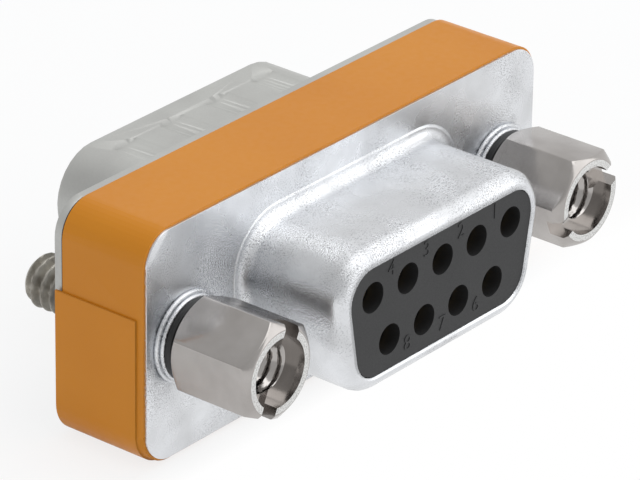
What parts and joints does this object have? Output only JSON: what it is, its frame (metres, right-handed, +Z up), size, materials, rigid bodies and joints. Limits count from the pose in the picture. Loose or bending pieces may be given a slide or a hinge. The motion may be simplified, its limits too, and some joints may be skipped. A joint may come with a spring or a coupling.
{
  "type": "null modem adapter",
  "caption": "Slim serial adapter with a D-shaped socket on one side and a D-shaped plug on the other, crossed over inside, held by captive jack screws.",
  "frame": {"origin": "on the connector axis, in the plane of the front flange's face", "axes": "+X along the connector, -Y towards the socket side, +Y towards the plug side, +Z up with the wide side of both shells on top"},
  "size_m": [0.0311, 0.0179, 0.0129],
  "materials": {
    "tinned_steel": "bright tin plate, lightly speckled",
    "satin_steel": "satin plate",
    "nickel": "nickel plate",
    "dark_plastic": "matt moulding",
    "black_plastic": "matt moulding",
    "orange_film": "satin film",
    "contact_metal": "gold plate",
    "board": "glass-epoxy board"
  },
  "bodies": {
    "adapter": {"socket_flange": "tinned_steel", "socket_shell": "tinned_steel", "plug_flange": "satin_steel", "plug_shell": "satin_steel", "socket_moulding": "dark_plastic", "plug_moulding": "black_plastic", "crossover_board": "board", "spacer_frame": "black_plastic", "wrap": "orange_film", "eyelet_left": "tinned_steel", "eyelet_right": "tinned_steel", "socket_contact_1": "contact_metal", "socket_contact_2": "contact_metal", "socket_contact_3": "contact_metal", "socket_contact_4": "contact_metal", "socket_contact_5": "contact_metal", "socket_contact_6": "contact_metal", "socket_contact_7": "contact_metal", "socket_contact_8": "contact_metal", "socket_contact_9": "contact_metal", "pin_1": "contact_metal", "pin_2": "contact_metal", "pin_3": "contact_metal", "pin_4": "contact_metal", "pin_5": "contact_metal", "pin_6": "contact_metal", "pin_7": "contact_metal", "pin_8": "contact_metal", "pin_9": "contact_metal"},
    "washer_left": {"washer_left": "black_plastic"},
    "washer_right": {"washer_right": "black_plastic"},
    "jack_screw_left": {"jack_screw_left": "nickel"},
    "jack_screw_right": {"jack_screw_right": "nickel"}
  },
  "joints": [
    {"name": "float_left", "type": "slide", "parent": "adapter", "child": "washer_left", "axis": [0, -1, 0], "range_m": [0, 0.0008]},
    {"name": "float_right", "type": "slide", "parent": "adapter", "child": "washer_right", "axis": [0, -1, 0], "range_m": [0, 0.0008]},
    {"name": "turn_left", "type": "hinge", "parent": "washer_left", "child": "jack_screw_left", "pos_m": [-0.0125, 0, 0], "axis": [0, 1, 0], "continuous": true},
    {"name": "turn_right", "type": "hinge", "parent": "washer_right", "child": "jack_screw_right", "pos_m": [0.0125, 0, 0], "axis": [0, 1, 0], "continuous": true}
  ]
}
